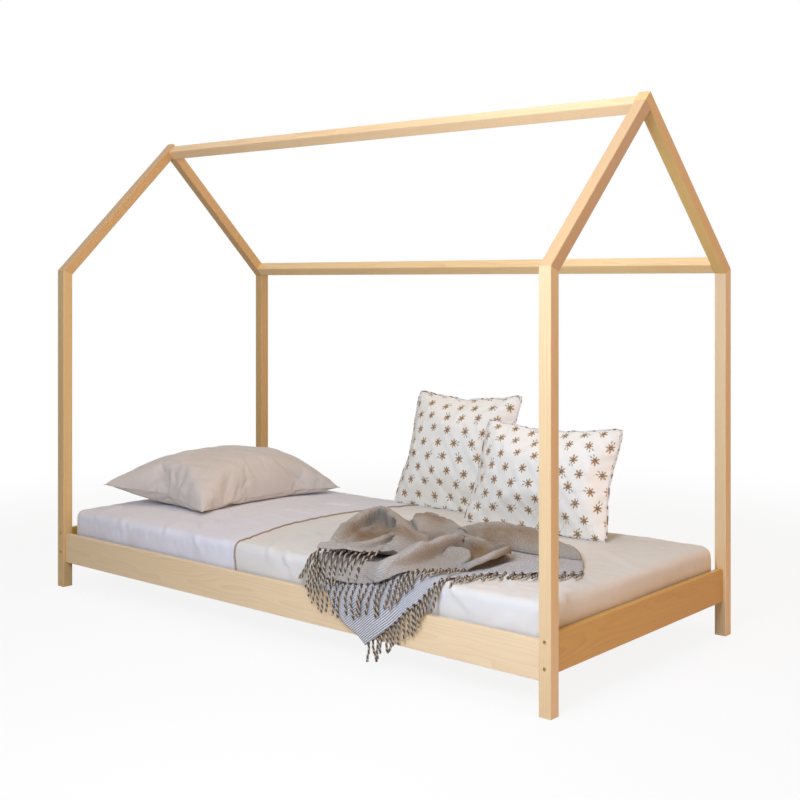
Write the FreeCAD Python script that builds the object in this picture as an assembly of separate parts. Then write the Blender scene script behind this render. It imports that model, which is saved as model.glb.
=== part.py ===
"""House frame bed: a single bed for a child inside the outline of a house.

Millimetres.  The origin is on the floor under the middle of the frame, +X runs
along the bed from head to foot, +Y runs from the front to the back and +Z is up.
Two gables of square pine stand at the ends.  A ridge beam and one eave beam at
the back tie them together, four boards make the bed box between the posts, and
the slats lie on ledgers inside it.  The bedding consists of plain closed solids.
"""

import FreeCAD
import Part
import math
import os

os.makedirs("parts", exist_ok=True)
V = FreeCAD.Vector

# The mattress decides the size of the bed box
mattress_length = 1990.0
mattress_width = 886.0
mattress_thickness = 117.0
mattress_end_gap = 11.0      # mattress to the head and foot boards
mattress_side_gap = 8.0      # mattress to the side boards, with room for the sheets

# Sizes of the timber frame
post_height = 1096.0         # floor to the outer corner of the mitre under the roof
roof_pitch = 45.0            # degrees, slope of the rafters
stock = 36.0                 # side of the square section of posts, rafters and beams
stock_round = 2.5            # radius of the long edges of that section
ridge_setback = 6.0          # ridge beam's upper faces below the rafters' outer faces
eave_beam_offset = 15.0      # eave beam from the outer mitre corner, up the rafter

# Bed boards between the posts
board_height = 98.5
board_thickness = 18.0
board_recess = 9.0           # outer face of a board behind the outer face of the post
board_bevel = 1.5            # narrow bevel round both faces of a board
board_corner = 7.0           # radius of the four corners of a board
side_board_lift = 84.5       # floor to the lower edge of the front and back boards
end_board_lift = 102.0       # floor to the lower edge of the head and foot boards

# Ledgers and slats
ledger_width = 20.0
ledger_height = 30.0
ledger_lift = 97.0           # floor to the ledger's lower face
ledger_end_gap = 6.0         # ledger's end to the post
ledger_round = 1.5
slat_width = 70.0
slat_thickness = 18.0
slat_round = 3.0
slat_count = 13
slat_end_gap = 3.0           # slat's end to the side board
slat_edge_margin = 22.0      # first slat's edge to the inner face of the end board
ribbon_width = 20.0
ribbon_thickness = 1.0
ribbon_offset = 300.0        # ribbon's centre line from the middle of the bed

# Bolts and barrel nuts that hold the end boards between the posts
bolt_diameter = 6.0
bolt_length = 70.0
bolt_head_diameter = 9.6
bolt_head_height = 5.0
bolt_spacing = 65.0          # between the two bolts of one joint, up the board
bolt_socket = 5.0            # across flats of the hexagon socket
bolt_socket_depth = 3.0
bolt_bore = 6.6
counterbore_diameter = 10.2
counterbore_depth = 8.0
nut_diameter = 10.0
nut_length = 14.0
nut_inset = 34.0             # end of the board to the axis of the barrel nut
nut_recess = 1.5             # nut's face below the inside face of the board

# Cam fittings that hold the side boards and the two beams
cam_diameter = 15.0
cam_height = 12.5
cam_inset = 34.0             # joint to the axis of the cam
cam_axis_depth = 9.0         # face with the cam to the axis of its bolt
cam_bolt_diameter = 6.0
cam_bolt_grip = 11.0         # length in the post or rafter
cam_bolt_bore = 8.0
cam_head_height = 3.0
cam_slot_width = 1.6
cam_slot_depth = 2.0
cam_spacing = 28.0           # between the two cams at one end of a side board
side_cam_drop = 15.0         # upper edge of the side board to the upper cam
side_dowel_lift = 20.0       # lower edge of the side board to its dowel

# Dowels and wood screws
dowel_diameter = 8.0
dowel_length = 36.0
mitre_dowel_length = 30.0
mitre_dowel_spacing = 12.0   # between the two dowels of a mitre, along the cut
screw_diameter = 4.0
screw_head_diameter = 8.0
ledger_screw_length = 34.0
slat_screw_length = 38.0
ledger_screw_count = 5
screw_margin = 60.0          # first ledger screw from the ledger's end

# Mattress and its sheets
mattress_corner = 40.0       # radius of the corners seen from above
mattress_round = 14.0        # radius of the upper and lower edges
sheet_thickness = 1.5
top_sheet_edge = -190.0      # X of the turned edge of the top sheet
top_sheet_drop = 105.0       # how far the top sheet hangs down the sides

# Pillow and cushions: width, height and thickness of each, then their places
pillow_size = (662.0, 442.0, 180.0)
pillow_place = (232.0, 54.0) # its middle: from the head board, and to the back of the centre line
pillow_turn = 93.0           # degrees from +X to the long side
cushion_lean = 10.0          # degrees from upright
back_cushion_size = (468.0, 408.0, 132.0)
back_cushion_place = (22.0, 65.0)     # X of its middle, and its foot from the back board
back_cushion_tilt = 2.0      # degrees, in its own plane
front_cushion_size = (548.0, 330.0, 122.0)
front_cushion_place = (466.0, 177.0)
front_cushion_tilt = 3.0
pad_corner = 14.0            # corners cut off the pillow and cushions

# Throw: outline on the bed, and outline of the corner that hangs over the front
throw_thickness = 26.0
flap_thickness = 5.0
flap_gap = 1.5               # hanging corner to the front board
throw_outline = (            # X, and distance from the front edge of the mattress
    (230.0, -150.0), (205.0, 3.0), (120.0, 63.0), (40.0, 233.0), (-40.0, 353.0), (-100.0, 543.0),
    (-100.0, 623.0), (30.0, 665.0), (150.0, 665.0), (300.0, 659.0), (480.0, 649.0), (560.0, 593.0),
    (690.0, 523.0), (820.0, 428.0), (900.0, 293.0), (806.0, 230.0), (700.0, 143.0), (702.0, 3.0),
    (700.0, -150.0),
)
flap_outline = (             # X, and drop below the top of the bed
    (228.0, -55.0), (228.0, 4.0), (318.0, 127.0), (422.0, 200.0), (702.0, 4.0), (702.0, -55.0),
)

# Clearances
wood_fit = 0.05              # dowels, nuts and screws in their bores, on the radius
sheet_fit = 0.2              # between the layers of the bedding
rest_gap = 0.3               # under each piece that lifts off

# Values that follow
board_inner_x = mattress_length / 2 + mattress_end_gap
board_outer_x = board_inner_x + board_thickness
half_length = board_outer_x + board_recess
board_inner_y = mattress_width / 2 + mattress_side_gap
board_outer_y = board_inner_y + board_thickness
half_width = board_outer_y + board_recess
pitch = math.radians(roof_pitch)
mitre_drop = stock * math.tan(pitch / 2)
post_inner_x = half_length - stock
post_inner_y = half_width - stock
ledger_top = ledger_lift + ledger_height
slat_top = ledger_top + slat_thickness
sheet_top = slat_top + mattress_thickness + 2 * (sheet_fit + sheet_thickness)


# ---------------------------------------------------------------- helpers
def prism(points, along):
    """Close the polygon and extrude it by the vector."""
    ring = list(points) + [points[0]]
    return Part.Face(Part.makePolygon(ring)).extrude(along)


def ease(solid, radius, pick):
    """Round the edges that pick accepts."""
    edges = [edge for edge in solid.Edges if pick(edge)]
    return solid.makeFillet(radius, edges)


def is_long(length):
    """Accept the edges that run the length of a bar."""
    return lambda edge: edge.Length > length


def bore(start, direction, diameter, depth):
    """A cylinder to cut: from a point, along a direction."""
    return Part.makeCylinder(diameter / 2, depth, start, direction)


def drill(solid, tools):
    """Cut the tools from a solid and keep one clean solid."""
    result = solid.cut(tools).removeSplitter()
    return result.Solids[0]


def meet(p, d, q, e):
    """Where the line through p along d crosses the line through q along e, in the YZ plane."""
    cross = d[0] * e[1] - d[1] * e[0]
    run = ((q[0] - p[0]) * e[1] - (q[1] - p[1]) * e[0]) / cross
    return (p[0] + run * d[0], p[1] + run * d[1])


def save(name, solids):
    """Write one node, a solid or a group of like solids."""
    shape = solids[0] if len(solids) == 1 else Part.makeCompound(solids)
    shape.exportStep("parts/" + name + ".step")


# ---------------------------------------------------------------- gables
# Lines of one gable in the YZ plane: outer and inner faces of the two slopes.
rise_front = (math.cos(pitch), math.sin(pitch))
rise_back = (-math.cos(pitch), math.sin(pitch))
outer_front = (-half_width, post_height)
outer_back = (half_width, post_height)
inner_front = (-half_width + stock, post_height - mitre_drop)
inner_back = (half_width - stock, post_height - mitre_drop)
apex = meet(outer_front, rise_front, outer_back, rise_back)
front_end_outer = meet(outer_front, rise_front, inner_back, rise_back)
front_end_inner = meet(inner_front, rise_front, inner_back, rise_back)

mitre_normal = V(0, math.sin(pitch / 2), math.cos(pitch / 2))


def post(x_outer, side):
    """Square post whose top is cut at half the roof pitch; side is -1 in front."""
    inward = -1 if x_outer > 0 else 1
    profile = [
        V(x_outer, side * half_width, 0),
        V(x_outer, side * half_width, post_height),
        V(x_outer, side * post_inner_y, post_height - mitre_drop),
        V(x_outer, side * post_inner_y, 0),
    ]
    solid = prism(profile, V(inward * stock, 0, 0))
    return ease(solid, stock_round, is_long(post_height / 2))


def rafter_profile(side):
    """The back rafter runs to the apex, the front one butts against its underside."""
    if side > 0:
        return [outer_back, apex, front_end_outer, inner_back]
    return [outer_front, front_end_outer, front_end_inner, inner_front]


def rafter(x_outer, side):
    """Square rafter in the plane of its gable."""
    inward = -1 if x_outer > 0 else 1
    profile = [V(x_outer, y, z) for y, z in rafter_profile(side)]
    solid = prism(profile, V(inward * stock, 0, 0))
    return ease(solid, stock_round, is_long(half_width / 2))


def dowel(middle, direction, length):
    """Beech dowel centred on a point."""
    return bore(middle - direction * (length / 2), direction, dowel_diameter, length)


def dowel_bore(middle, direction, length):
    """The hole that a dowel fills on both sides of the joint."""
    start = middle - direction * (length / 2 + 1)
    return bore(start, direction, dowel_diameter + 2 * wood_fit, length + 2)


mitre_dowels = []
mitre_cuts = {}
for end in (-1, 1):
    for side in (-1, 1):
        normal = V(0, -side * mitre_normal.y, mitre_normal.z)
        y_mid = side * (half_width + post_inner_y) / 2
        z_mid = post_height - mitre_drop / 2
        cuts = []
        slope = V(0, -side * mitre_normal.z, -mitre_normal.y)
        for step in (-1, 1):
            middle = V(end * (half_length - stock / 2), y_mid, z_mid) + slope * (step * mitre_dowel_spacing / 2)
            mitre_dowels.append(dowel(middle, normal, mitre_dowel_length))
            cuts.append(dowel_bore(middle, normal, mitre_dowel_length))
        mitre_cuts[(end, side)] = cuts


# ---------------------------------------------------------------- cam fittings
def cam_joint(point, into, normal):
    """Cam, cam bolt and the holes for both.

    point is on the joint, into points into the piece that holds the cam, and
    normal is the outward normal of the face that the cam is let into.
    """
    centre = point + into * cam_inset
    face = centre + normal * cam_axis_depth
    cam = bore(face - normal * cam_height, normal, cam_diameter, cam_height)
    across = normal.cross(into)
    half = cam_bolt_bore / 2
    mouth = prism(
        [
            centre - normal * half - across * half,
            centre - normal * half + across * half,
            centre + normal * half + across * half,
            centre + normal * half - across * half,
        ],
        into * (-cam_diameter),
    )
    groove = prism(
        [
            face - across * (cam_slot_width / 2) - into * cam_diameter,
            face + across * (cam_slot_width / 2) - into * cam_diameter,
            face + across * (cam_slot_width / 2) + into * cam_diameter,
            face - across * (cam_slot_width / 2) + into * cam_diameter,
        ],
        normal * (-cam_slot_depth),
    )
    cam = cam.cut([mouth, groove]).Solids[0]
    shank = bore(point - into * cam_bolt_grip, into, cam_bolt_diameter, cam_bolt_grip + cam_inset)
    head = bore(point + into * (cam_inset - cam_head_height), into, cam_bolt_bore - 1, cam_head_height)
    bolt = shank.fuse(head).removeSplitter()
    pocket = bore(face + normal, -normal, cam_diameter + 2 * wood_fit, cam_height + 1.2)
    lead = bore(point - into * 0.5, into, cam_bolt_bore, cam_inset)
    hold = bore(point + into * 0.5, -into, cam_bolt_diameter + 2 * wood_fit, cam_bolt_grip + 1)
    return cam, bolt.Solids[0], [pocket, lead], [hold]


# ---------------------------------------------------------------- boards
def board(length, thickness_axis, centre, lift):
    """Board on edge with round corners and eased edges."""
    half = length / 2
    low = lift
    high = lift + board_height
    if thickness_axis == "y":
        start = centre - board_thickness / 2
        outline = [V(-half, start, low), V(half, start, low), V(half, start, high), V(-half, start, high)]
        solid = prism(outline, V(0, board_thickness, 0))
    else:
        start = centre - board_thickness / 2
        outline = [V(start, -half, low), V(start, half, low), V(start, half, high), V(start, -half, high)]
        solid = prism(outline, V(board_thickness, 0, 0))
    solid = ease(solid, board_corner, lambda e: abs(e.Length - board_thickness) < 0.01)
    rims = [e for e in solid.Edges if abs(e.Length - board_thickness) > 0.01]
    return solid.makeChamfer(board_bevel, rims)


side_cam_z = side_board_lift + board_height - side_cam_drop
side_dowel_z = side_board_lift + side_dowel_lift
end_board_mid = end_board_lift + board_height / 2

post_cuts = {}
rafter_cuts = {}
for end in (-1, 1):
    for side in (-1, 1):
        post_cuts[(end, side)] = list(mitre_cuts[(end, side)])
        rafter_cuts[(end, side)] = list(mitre_cuts[(end, side)])

side_boards = {}
side_cams = []
side_cam_bolts = []
side_dowels = []
for side in (-1, 1):
    centre_y = side * (board_outer_y + board_inner_y) / 2
    solid = board(2 * post_inner_x, "y", centre_y, side_board_lift)
    inside = V(0, -side, 0)
    tools = []
    for end in (-1, 1):
        into = V(-end, 0, 0)
        for step in (0, 1):
            point = V(end * post_inner_x, centre_y, side_cam_z - step * cam_spacing)
            cam, bolt, member, receiver = cam_joint(point, into, inside)
            side_cams.append(cam)
            side_cam_bolts.append(bolt)
            tools += member
            post_cuts[(end, side)] += receiver
        middle = V(end * post_inner_x, centre_y, side_dowel_z)
        side_dowels.append(dowel(middle, into, dowel_length))
        tools.append(dowel_bore(middle, into, dowel_length))
        post_cuts[(end, side)].append(dowel_bore(middle, into, dowel_length))
    side_boards[side] = (solid, tools)

end_boards = {}
end_bolts = []
end_nuts = []
for end in (-1, 1):
    centre_x = end * (board_outer_x + board_inner_x) / 2
    solid = board(2 * post_inner_y, "x", centre_x, end_board_lift)
    tools = []
    for side in (-1, 1):
        into = V(0, -side, 0)
        for step in (-1, 1):
            z = end_board_mid + step * bolt_spacing / 2
            mouth = V(centre_x, side * half_width, z)
            seat = mouth + into * counterbore_depth
            shank = bore(seat, into, bolt_diameter, bolt_length)
            head = bore(seat, -into, bolt_head_diameter, bolt_head_height)
            corners = []
            for k in range(6):
                angle = math.radians(60 * k + 30)
                reach = bolt_socket / 2 / math.cos(math.radians(30))
                corners.append(seat - into * bolt_head_height + V(math.cos(angle), 0, math.sin(angle)) * reach)
            socket = prism(corners, into * bolt_socket_depth)
            end_bolts.append(shank.fuse(head).cut(socket).removeSplitter().Solids[0])
            tip = V(centre_x, side * (post_inner_y - nut_inset), z)
            out = V(-end, 0, 0)
            face = tip + out * (board_thickness / 2 - nut_recess)
            nut = bore(face - out * nut_length, out, nut_diameter, nut_length)
            thread = bore(tip - into * nut_diameter, into, bolt_diameter + 2 * wood_fit, 2 * nut_diameter)
            end_nuts.append(nut.cut(thread).Solids[0])
            tools.append(bore(mouth, into, bolt_bore, counterbore_depth + bolt_length + 3))
            pocket_depth = nut_length + nut_recess + 0.2
            tools.append(bore(tip + out * (board_thickness / 2), -out, nut_diameter + 2 * wood_fit, pocket_depth))
            post_cuts[(end, side)].append(bore(mouth - into, into, counterbore_diameter, counterbore_depth + 1))
            post_cuts[(end, side)].append(bore(mouth, into, bolt_bore, stock + 1))
    end_boards[end] = (solid, tools)

# ---------------------------------------------------------------- beams
beam_half = stock / math.sqrt(2)
ridge_reach = beam_half * max(math.sin(pitch), math.cos(pitch))
ridge_z = apex[1] - (ridge_reach + ridge_setback) / math.cos(pitch)
eave_up = V(0, rise_back[0], rise_back[1])
eave_in = V(0, -math.sin(pitch), -math.cos(pitch))
eave_corner = V(0, half_width, post_height) + eave_up * eave_beam_offset
down_back = V(0, math.sqrt(0.5), -math.sqrt(0.5))


def beam(corners):
    """Square beam between the inner faces of the gables."""
    start = V(-post_inner_x, 0, 0)
    solid = prism([corner + start for corner in corners], V(2 * post_inner_x, 0, 0))
    return ease(solid, stock_round, is_long(post_inner_x))


ridge_centre = V(0, 0, ridge_z)
ridge = beam(
    [
        ridge_centre + V(0, -beam_half, 0),
        ridge_centre + V(0, 0, beam_half),
        ridge_centre + V(0, beam_half, 0),
        ridge_centre + V(0, 0, -beam_half),
    ]
)
eave = beam(
    [
        eave_corner,
        eave_corner + eave_up * stock,
        eave_corner + eave_up * stock + eave_in * stock,
        eave_corner + eave_in * stock,
    ]
)
eave_centre = eave_corner + (eave_up + eave_in) * (stock / 2)

beam_cams = []
beam_cam_bolts = []
beam_dowels = []
ridge_tools = []
eave_tools = []
for end in (-1, 1):
    into = V(-end, 0, 0)
    for centre, face_normal, tools in (
        (ridge_centre, down_back, ridge_tools),
        (eave_centre, eave_up * -1, eave_tools),
    ):
        at_gable = V(end * post_inner_x, 0, 0) + centre
        point = at_gable + face_normal * (stock / 2 - cam_axis_depth)
        cam, bolt, member, receiver = cam_joint(point, into, face_normal)
        beam_cams.append(cam)
        beam_cam_bolts.append(bolt)
        middle = at_gable - face_normal * (stock / 2 - cam_axis_depth)
        beam_dowels.append(dowel(middle, into, dowel_length))
        peg = dowel_bore(middle, into, dowel_length)
        tools += member + [peg]
        rafter_cuts[(end, 1)] += receiver + [peg]
        if tools is ridge_tools:
            rafter_cuts[(end, -1)] += receiver + [peg]

END_NAMES = {-1: "head", 1: "foot"}
SIDE_NAMES = {-1: "front", 1: "back"}
for end in (-1, 1):
    for side in (-1, 1):
        name = END_NAMES[end] + "_" + SIDE_NAMES[side]
        x_outer = end * half_length
        save("post_" + name, [drill(post(x_outer, side), post_cuts[(end, side)])])
        save("rafter_" + name, [drill(rafter(x_outer, side), rafter_cuts[(end, side)])])
save("ridge_beam", [drill(ridge, ridge_tools)])
save("eave_beam_back", [drill(eave, eave_tools)])
save("mitre_dowels", mitre_dowels)
save("beam_cams", beam_cams)
save("beam_cam_bolts", beam_cam_bolts)
save("beam_dowels", beam_dowels)
save("side_board_cams", side_cams)
save("side_board_cam_bolts", side_cam_bolts)
save("side_board_dowels", side_dowels)
save("end_board_bolts", end_bolts)
save("end_board_barrel_nuts", end_nuts)
for end in (-1, 1):
    solid, tools = end_boards[end]
    save("end_board_" + END_NAMES[end], [drill(solid, tools)])


# ---------------------------------------------------------------- ledgers and slats
def screw(tip, direction, length):
    """Countersunk wood screw that points along a direction; tip is its point."""
    start = tip - direction * length
    cone = Part.makeCone(screw_head_diameter / 2, screw_diameter / 2, screw_diameter / 2, start, direction)
    shank = bore(start + direction * 1.0, direction, screw_diameter, length - 1.0)
    return cone.fuse(shank).removeSplitter().Solids[0]


def screw_bore(tip, direction, length):
    """Countersink and pilot hole of that screw."""
    start = tip - direction * length
    wide = screw_head_diameter / 2 + wood_fit
    narrow = screw_diameter / 2 + wood_fit
    cone = Part.makeCone(wide, narrow, screw_diameter / 2, start, direction)
    return [cone, bore(start, direction, 2 * narrow, length + 0.5)]


ledger_length = 2 * (post_inner_x - ledger_end_gap)
ledger_screws = []
ledgers = {}
for side in (-1, 1):
    y_low = min(side * board_inner_y, side * (board_inner_y - ledger_width))
    bar = Part.makeBox(ledger_length, ledger_width, ledger_height, V(-ledger_length / 2, y_low, ledger_lift))
    bar = ease(bar, ledger_round, is_long(ledger_length / 2))
    cuts = []
    outward = V(0, side, 0)
    span = ledger_length - 2 * screw_margin
    for k in range(ledger_screw_count):
        x = -span / 2 + span * k / (ledger_screw_count - 1)
        head = V(x, side * (board_inner_y - ledger_width), ledger_lift + ledger_height / 2)
        tip = head + outward * ledger_screw_length
        ledger_screws.append(screw(tip, outward, ledger_screw_length))
        cuts += screw_bore(tip, outward, ledger_screw_length)
    ledgers[side] = (bar, cuts)
    solid, tools = side_boards[side]
    save("side_board_" + SIDE_NAMES[side], [drill(solid, tools + cuts)])

slat_length = 2 * (board_inner_y - slat_end_gap)
first_slat = -board_inner_x + slat_edge_margin + slat_width / 2
slat_pitch = -2 * first_slat / (slat_count - 1)
slat_screws = []
for k in range(slat_count):
    x = first_slat + slat_pitch * k
    slat_corner = V(x - slat_width / 2, -slat_length / 2, ledger_top)
    blank = Part.makeBox(slat_width, slat_length, slat_thickness, slat_corner)
    blank = ease(blank, slat_round, is_long(slat_length / 2))
    if k in (0, slat_count - 1):
        cuts = []
        for side in (-1, 1):
            y = side * (board_inner_y - ledger_width / 2)
            tip = V(x, y, slat_top - slat_screw_length)
            slat_screws.append(screw(tip, V(0, 0, -1), slat_screw_length))
            cuts += screw_bore(tip, V(0, 0, -1), slat_screw_length)
            bar, old = ledgers[side]
            ledgers[side] = (bar, old + screw_bore(tip, V(0, 0, -1), slat_screw_length))
        blank = drill(blank, cuts)
    save("slat_%02d" % (k + 1), [blank])
for side in (-1, 1):
    bar, cuts = ledgers[side]
    save("ledger_" + SIDE_NAMES[side], [drill(bar, cuts)])
save("ledger_screws", ledger_screws)
save("slat_screws", slat_screws)

ribbon_length = slat_pitch * (slat_count - 1) + slat_width - 10
for side in (-1, 1):
    corner = V(-ribbon_length / 2, side * ribbon_offset - ribbon_width / 2, ledger_top - ribbon_thickness)
    ribbon = Part.makeBox(ribbon_length, ribbon_width, ribbon_thickness, corner)
    save("slat_ribbon_" + SIDE_NAMES[side], [ribbon])


# ---------------------------------------------------------------- mattress and sheets
def pad_block(grow, bottom, top, edge):
    """Mattress shape, larger all round by grow, between two heights."""
    length = mattress_length + 2 * grow
    width = mattress_width + 2 * grow
    block = Part.makeBox(length, width, top - bottom, V(-length / 2, -width / 2, bottom))
    upright = [e for e in block.Edges if abs(e.Length - (top - bottom)) < 0.01]
    block = block.makeFillet(mattress_corner + grow, upright)
    if not edge:
        return block
    rims = [e for e in block.Edges if e.BoundBox.ZMin > top - 0.01]
    return block.makeFillet(mattress_round + grow, rims)


core_top = slat_top + mattress_thickness
core = pad_block(0, slat_top + rest_gap, core_top, True)
foot_rims = [e for e in core.Edges if e.BoundBox.ZMax < slat_top + rest_gap + 0.01]
save("mattress", [core.makeFillet(mattress_round, foot_rims)])

fitted_low = slat_top + 2 * mattress_round
inner = pad_block(sheet_fit, fitted_low - 5, core_top + sheet_fit, True)
outer = pad_block(sheet_fit + sheet_thickness, fitted_low, core_top + sheet_fit + sheet_thickness, True)
save("fitted_sheet", [outer.cut(inner).Solids[0]])

layer = sheet_fit + sheet_thickness
inner = pad_block(layer + sheet_fit, sheet_top - top_sheet_drop - 5, core_top + layer + sheet_fit, True)
outer = pad_block(2 * layer, sheet_top - top_sheet_drop, sheet_top, True)
window_corner = V(top_sheet_edge, -half_width, sheet_top - top_sheet_drop - 1)
window = Part.makeBox(2 * half_length, 2 * half_width, top_sheet_drop + 10, window_corner)
save("top_sheet", [outer.cut(inner).common(window).Solids[0]])


# ---------------------------------------------------------------- pillow and cushions
def pad(width, height, thickness):
    """Stuffed case lying in the XY plane: a stack of cut-cornered rectangles, widest at the seam."""
    levels = ((0.0, 1.0), (0.2, 0.972), (0.5, 0.86), (0.78, 0.66), (0.95, 0.40), (1.0, 0.24))
    stack = [(-share, size) for share, size in reversed(levels[1:])] + list(levels)
    wires = []
    for share, size in stack:
        w = width / 2 * size
        h = height / 2 * size
        cut = pad_corner * size
        z = share * thickness / 2
        quarter = [(w - cut, h), (w, h - cut)]
        ring = []
        for sx, sy in ((1, 1), (1, -1), (-1, -1), (-1, 1)):
            corner = quarter if sx * sy > 0 else quarter[::-1]
            ring += [V(sx * x, sy * y, z) for x, y in corner]
        wires.append(Part.makePolygon(ring + [ring[0]]))
    return Part.makeLoft(wires, True, True)


def lay(solid, x, y, floor):
    """Move a solid so that it stands on a height."""
    low = solid.optimalBoundingBox(False, False).ZMin
    return solid.translated(V(x, y, floor + rest_gap - low))


pillow = pad(*pillow_size)
pillow = pillow.rotated(V(0, 0, 0), V(0, 0, 1), pillow_turn)
save("pillow", [lay(pillow, pillow_place[0] - board_inner_x, pillow_place[1], sheet_top - layer)])


def cushion(size, tilt, place):
    """Cushion that stands on the bed and leans back; place gives the foot of its middle plane."""
    solid = pad(*size)
    solid = solid.rotated(V(0, 0, 0), V(0, 0, 1), tilt)
    solid = solid.rotated(V(0, 0, 0), V(1, 0, 0), 90 - cushion_lean)
    foot_y = board_inner_y - place[1]
    shift = size[1] / 2 * math.sin(math.radians(cushion_lean))
    return lay(solid, place[0], foot_y + shift, sheet_top)


save("cushion_back", [cushion(back_cushion_size, back_cushion_tilt, back_cushion_place)])
save("cushion_front", [cushion(front_cushion_size, front_cushion_tilt, front_cushion_place)])

# ---------------------------------------------------------------- throw
# A folded layer that bends over the edge of the mattress and hangs in front of the board.
flap_back = board_outer_y + flap_gap
flap_front = flap_back + flap_thickness
throw_low = sheet_top + rest_gap
throw_high = throw_low + throw_thickness
section = prism(
    [
        V(-half_length, half_width, throw_low),
        V(-half_length, half_width, throw_high),
        V(-half_length, -flap_front, throw_high),
        V(-half_length, -flap_front, 0),
        V(-half_length, -flap_back, 0),
        V(-half_length, -flap_back, throw_low),
    ],
    V(2 * half_length, 0, 0),
)
bend = [e for e in section.Edges if e.Length > half_length and abs(e.BoundBox.YMin + flap_front) < 0.1]
bend = [e for e in bend if e.BoundBox.ZMin > throw_high - 0.1]
section = section.makeFillet(throw_thickness * 0.6, bend)
throw_corners = [V(x, y - mattress_width / 2, throw_low - 1) for x, y in throw_outline]
above = prism(throw_corners, V(0, 0, throw_thickness + 5))
flap_corners = [V(x, -flap_back + 0.01, throw_low - d) for x, d in flap_outline]
hanging = prism(flap_corners, V(0, -flap_thickness - 5, 0))
upper = section.common(above)
lower = section.common(hanging)
throw = upper.fuse(lower).removeSplitter()
save("throw", throw.Solids)
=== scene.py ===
import math
from math import pi

import bmesh
import bpy
import numpy as np
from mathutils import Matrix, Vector


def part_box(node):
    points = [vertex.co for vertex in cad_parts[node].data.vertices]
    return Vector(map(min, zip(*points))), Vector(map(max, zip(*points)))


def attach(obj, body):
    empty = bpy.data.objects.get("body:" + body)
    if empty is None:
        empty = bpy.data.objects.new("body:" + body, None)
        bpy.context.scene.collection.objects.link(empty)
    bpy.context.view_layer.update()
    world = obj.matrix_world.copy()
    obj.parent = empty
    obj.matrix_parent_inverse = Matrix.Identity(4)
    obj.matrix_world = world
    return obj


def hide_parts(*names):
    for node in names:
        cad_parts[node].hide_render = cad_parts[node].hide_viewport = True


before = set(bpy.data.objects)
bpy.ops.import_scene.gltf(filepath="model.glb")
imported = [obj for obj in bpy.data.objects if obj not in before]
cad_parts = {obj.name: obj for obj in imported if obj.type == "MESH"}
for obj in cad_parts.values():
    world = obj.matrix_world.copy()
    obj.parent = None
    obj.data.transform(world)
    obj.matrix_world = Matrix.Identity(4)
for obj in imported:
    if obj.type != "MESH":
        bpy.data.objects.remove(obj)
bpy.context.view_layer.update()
scene = bpy.context.scene

# ----------------------------------------
# Studio: a plain pale floor under a white surround. The camera stands at the foot end in front,
# at eye height, with a level view and a rising front.
scene.view_settings.view_transform = "Standard"


def node(kind, inputs=None, tree=None, **settings):
    """Adds one node to a tree, or else to the tree of the first socket among its inputs; they are
    given by name or number, as values or as the sockets to join."""
    inputs = inputs or {}
    tree = tree or next(v.id_data for v in inputs.values() if isinstance(v, bpy.types.NodeSocket))
    made = tree.nodes.new("ShaderNode" + kind)
    for key, value in settings.items():
        setattr(made, key, value)
    for key, value in inputs.items():
        if isinstance(value, bpy.types.NodeSocket):
            tree.links.new(value, made.inputs[key])
        else:
            made.inputs[key].default_value = value
    return made


def fresh(name, place="Object"):
    """An empty node material, and the socket of the place on the object or its UV."""
    made = bpy.data.materials.new(name)
    made.use_nodes = True
    made.node_tree.nodes.clear()
    return made, node("TexCoord", tree=made.node_tree).outputs[place]


def tone(code):
    """The linear colour of an sRGB hex value."""
    parts = np.array([int(code[k : k + 2], 16) for k in (1, 3, 5)]) / 255
    flat = np.where(parts <= 0.04045, parts / 12.92, ((parts + 0.055) / 1.055) ** 2.4)
    return (*(float(v) for v in flat), 1.0)


def mesh_piece(name, points, faces, material):
    """A smooth mesh from an array of points and an array of four-cornered faces."""
    mesh = bpy.data.meshes.new(name)
    mesh.from_pydata(np.asarray(points).reshape(-1, 3).tolist(), [], np.asarray(faces).tolist())
    mesh.materials.append(material)
    mesh.polygons.foreach_set("use_smooth", np.ones(len(mesh.polygons), bool))
    mesh.update()
    made = bpy.data.objects.new(name, mesh)
    scene.collection.objects.link(made)
    return made


def cells(rows, columns, around=False, along=False):
    """Faces of a grid of points, closed round its columns or its rows if asked."""
    i = np.arange(rows if along else rows - 1)[:, None]
    j = np.arange(columns if around else columns - 1)[None, :]
    down, right = (i + 1) % rows, (j + 1) % columns
    quads = (i * columns + j, i * columns + right, down * columns + right, down * columns + j)
    return np.stack([np.broadcast_to(q, (i.size, j.size)).ravel() for q in quads], axis=1)


def maths(kind, *values, **settings):
    """One step of arithmetic on numbers and sockets; gives the socket of the result."""
    return node("Math", dict(enumerate(values)), operation=kind, **settings).outputs[0]


def ramp(value, low, high, first=0.0, last=1.0, **settings):
    """Carries the range low to high onto first to last; gives the socket of the result."""
    return node("MapRange", {0: value, 1: low, 2: high, 3: first, 4: last}, **settings).outputs[0]


def join(share, first, second, end):
    """Mixes two shaders by a share and joins them to an output node of the kind end."""
    both = node("MixShader", {0: share, 1: first.outputs[0], 2: second.outputs[0]})
    node(end, {"Surface": both.outputs[0]})


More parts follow.
